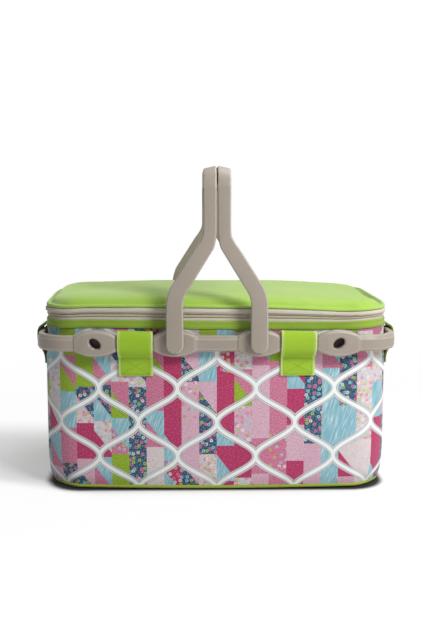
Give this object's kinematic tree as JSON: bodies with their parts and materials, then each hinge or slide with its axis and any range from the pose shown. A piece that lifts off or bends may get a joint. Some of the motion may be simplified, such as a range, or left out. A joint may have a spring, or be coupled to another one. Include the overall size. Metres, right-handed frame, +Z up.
{
  "type": "picnic bag",
  "caption": "Insulated soft picnic bag with a zipped foam lid, foil lining, a plastic ring frame held by cloth straps, and two swing handles that meet over the lid.",
  "frame": {"origin": "centre of the base on the floor, under the middle of the bag", "axes": "+X along the bag from the left end to the right end, +Y from the front to the back, +Z up"},
  "size_m": [0.4616, 0.316, 0.41],
  "materials": {
    "green_cloth": "woven polyester",
    "printed_cloth": "printed woven polyester",
    "taupe_cloth": "woven tape",
    "taupe_plastic": "satin moulded",
    "zip_coil": "satin",
    "foam": "closed-cell foam",
    "foil": "metallised film",
    "board": "stiffener board",
    "slider_metal": "satin"
  },
  "bodies": {
    "bag": {"outer_wall": "printed_cloth", "wall_foam": "foam", "foil_lining": "foil", "floor_foam": "foam", "base_board": "board", "base_panel": "green_cloth", "base_piping": "green_cloth", "rim_band": "green_cloth", "zip_tape_lower": "taupe_cloth", "zip_coil_lower": "zip_coil", "lid_hinge_strip": "green_cloth", "frame_front_left": "taupe_plastic", "frame_front_middle": "taupe_plastic", "frame_front_right": "taupe_plastic", "frame_bow_right": "taupe_plastic", "frame_back_right": "taupe_plastic", "frame_back_middle": "taupe_plastic", "frame_back_left": "taupe_plastic", "frame_bow_left": "taupe_plastic", "strap_front_left": "green_cloth", "strap_front_right": "green_cloth", "strap_back_left": "green_cloth", "strap_back_right": "green_cloth", "strap_end_left_front": "green_cloth", "strap_end_left_back": "green_cloth", "strap_end_right_front": "green_cloth", "strap_end_right_back": "green_cloth"},
    "lid": {"lid_cover": "green_cloth", "lid_foam": "foam", "lid_lining": "foil", "lid_piping": "taupe_cloth", "zip_tape_upper": "taupe_cloth", "zip_coil_upper": "zip_coil"},
    "slider": {"zip_slider": "slider_metal"},
    "pull": {"zip_pull": "slider_metal"},
    "left_handle": {"handle_left": "taupe_plastic", "pivot_cap_left_front": "taupe_plastic", "pivot_cap_left_back": "taupe_plastic"},
    "right_handle": {"handle_right": "taupe_plastic", "pivot_cap_right_front": "taupe_plastic", "pivot_cap_right_back": "taupe_plastic"}
  },
  "joints": [
    {"name": "left_handle_swing", "type": "hinge", "parent": "bag", "child": "left_handle", "pos_m": [-0.0521, 0, 0.1915], "axis": [0, -1, 0], "range_deg": [0, 130]},
    {"name": "right_handle_swing", "type": "hinge", "parent": "bag", "child": "right_handle", "pos_m": [0.0521, 0, 0.1915], "axis": [0, 1, 0], "range_deg": [0, 130]},
    {"name": "lid_lift", "type": "hinge", "parent": "bag", "child": "lid", "pos_m": [0, 0.131, 0.2279], "axis": [-1, 0, 0], "range_deg": [0, 32]},
    {"name": "zip_slide", "type": "slide", "parent": "lid", "child": "slider", "axis": [0, -1, 0], "range_m": [0, 0.12]},
    {"name": "pull_flip", "type": "hinge", "parent": "slider", "child": "pull", "pos_m": [0.2215, 0.06, 0.225], "axis": [0, 0, -1], "range_deg": [0, 180]}
  ]
}
